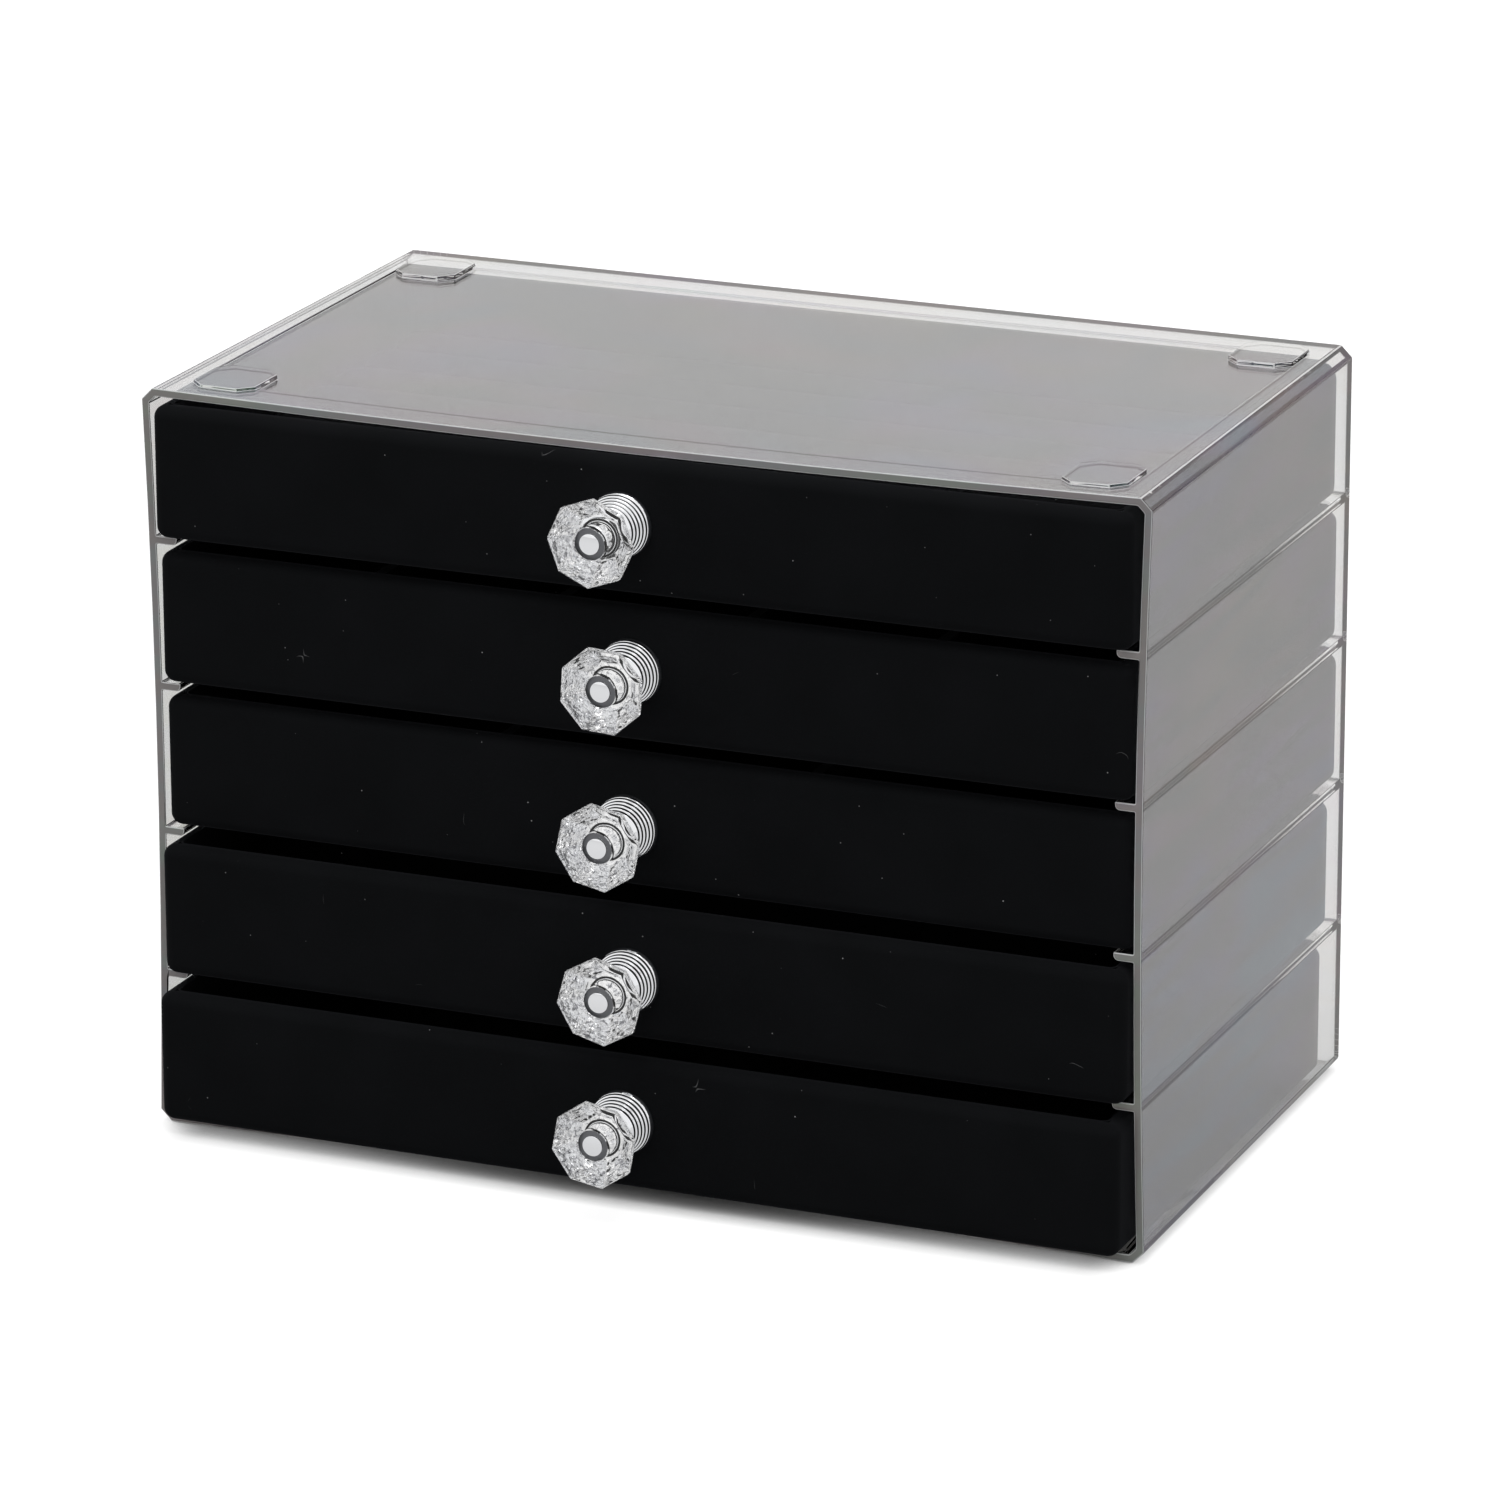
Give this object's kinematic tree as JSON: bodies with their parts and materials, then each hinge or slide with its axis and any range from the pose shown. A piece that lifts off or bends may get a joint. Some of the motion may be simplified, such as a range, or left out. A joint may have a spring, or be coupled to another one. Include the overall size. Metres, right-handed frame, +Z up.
{
  "type": "jewelry organizer box",
  "caption": "Clear open-fronted jewellery case holding stacked black velvet drawers on moulded ledges, each with a faceted clear knob on a bright metal base.",
  "frame": {"origin": "centre of the case's footprint, on the surface that it stands on", "axes": "+Z up, -Y to the open front that the drawers slide out of, +X to the right seen from the front"},
  "size_m": [0.235, 0.1565, 0.1711],
  "materials": {
    "clear_case": "clear moulded polystyrene, polished",
    "fibreboard": "plain pressed fibreboard",
    "black_velvet": "short black velvet pile",
    "velvet_rolls": "foam rolls in black velvet",
    "velvet_boards": "boards in black velvet",
    "clear_knob": "clear faceted acrylic, polished",
    "bright_metal": "polished chrome plating",
    "screw_steel": "zinc-plated steel"
  },
  "bodies": {
    "case": {"clear_case": "clear_case"},
    "drawer_1": {"drawer_1_knob_base": "bright_metal", "drawer_1_knob_crystal": "clear_knob", "drawer_1_knob_screw": "screw_steel", "drawer_1_knob_washer": "screw_steel", "drawer_1_ring_rolls": "velvet_rolls", "drawer_1_tray": "fibreboard", "drawer_1_velvet_lining": "black_velvet", "drawer_1_velvet_wrap": "black_velvet"},
    "drawer_2": {"drawer_2_cross_dividers": "velvet_boards", "drawer_2_knob_base": "bright_metal", "drawer_2_knob_crystal": "clear_knob", "drawer_2_knob_screw": "screw_steel", "drawer_2_knob_washer": "screw_steel", "drawer_2_long_dividers": "velvet_boards", "drawer_2_tray": "fibreboard", "drawer_2_velvet_lining": "black_velvet", "drawer_2_velvet_wrap": "black_velvet"},
    "drawer_3": {"drawer_3_cross_dividers": "velvet_boards", "drawer_3_knob_base": "bright_metal", "drawer_3_knob_crystal": "clear_knob", "drawer_3_knob_screw": "screw_steel", "drawer_3_knob_washer": "screw_steel", "drawer_3_long_dividers": "velvet_boards", "drawer_3_tray": "fibreboard", "drawer_3_velvet_lining": "black_velvet", "drawer_3_velvet_wrap": "black_velvet"},
    "drawer_4": {"drawer_4_knob_base": "bright_metal", "drawer_4_knob_crystal": "clear_knob", "drawer_4_knob_screw": "screw_steel", "drawer_4_knob_washer": "screw_steel", "drawer_4_long_dividers": "velvet_boards", "drawer_4_tray": "fibreboard", "drawer_4_velvet_lining": "black_velvet", "drawer_4_velvet_wrap": "black_velvet"},
    "drawer_5": {"drawer_5_knob_base": "bright_metal", "drawer_5_knob_crystal": "clear_knob", "drawer_5_knob_screw": "screw_steel", "drawer_5_knob_washer": "screw_steel", "drawer_5_tray": "fibreboard", "drawer_5_velvet_lining": "black_velvet", "drawer_5_velvet_wrap": "black_velvet"}
  },
  "joints": [
    {"name": "drawer_1_slide", "type": "slide", "parent": "case", "child": "drawer_1", "axis": [0, -1, 0], "range_m": [-0.0033, 0.1067]},
    {"name": "drawer_2_slide", "type": "slide", "parent": "case", "child": "drawer_2", "axis": [0, -1, 0], "range_m": [-0.0014, 0.1086]},
    {"name": "drawer_3_slide", "type": "slide", "parent": "case", "child": "drawer_3", "axis": [0, -1, 0], "range_m": [0, 0.11]},
    {"name": "drawer_4_slide", "type": "slide", "parent": "case", "child": "drawer_4", "axis": [0, -1, 0], "range_m": [-0.0042, 0.1058]},
    {"name": "drawer_5_slide", "type": "slide", "parent": "case", "child": "drawer_5", "axis": [0, -1, 0], "range_m": [-0.0075, 0.1025]}
  ]
}
